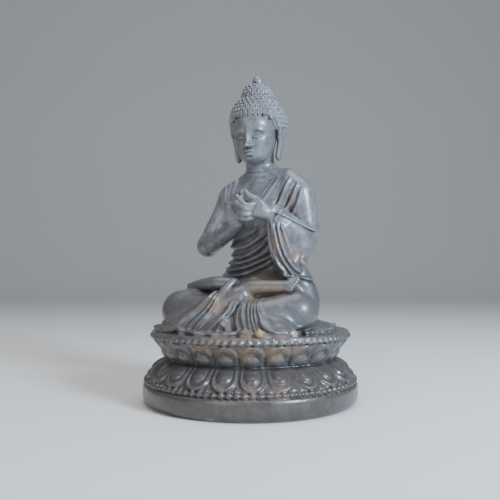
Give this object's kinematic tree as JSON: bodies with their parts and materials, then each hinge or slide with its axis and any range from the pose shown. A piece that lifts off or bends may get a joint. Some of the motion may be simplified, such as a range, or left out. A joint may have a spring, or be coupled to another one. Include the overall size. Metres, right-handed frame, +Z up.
{
  "type": "seated buddha statue",
  "caption": "Seated Buddha figure with both hands raised before the chest, cross-legged on a round double-lotus pedestal, cast in one piece with a flat underside.",
  "frame": {"origin": "centre of the flat underside of the pedestal", "axes": "+Z up, -Y is the way the figure faces, +X is the figure's left-hand side"},
  "size_m": [0.194, 0.194, 0.3028],
  "materials": {
    "cast_resin": "satin blue-grey patina with brown wear in the hollows"
  },
  "bodies": {
    "root": {"seated_buddha_statue": "cast_resin"}
  },
  "joints": []
}
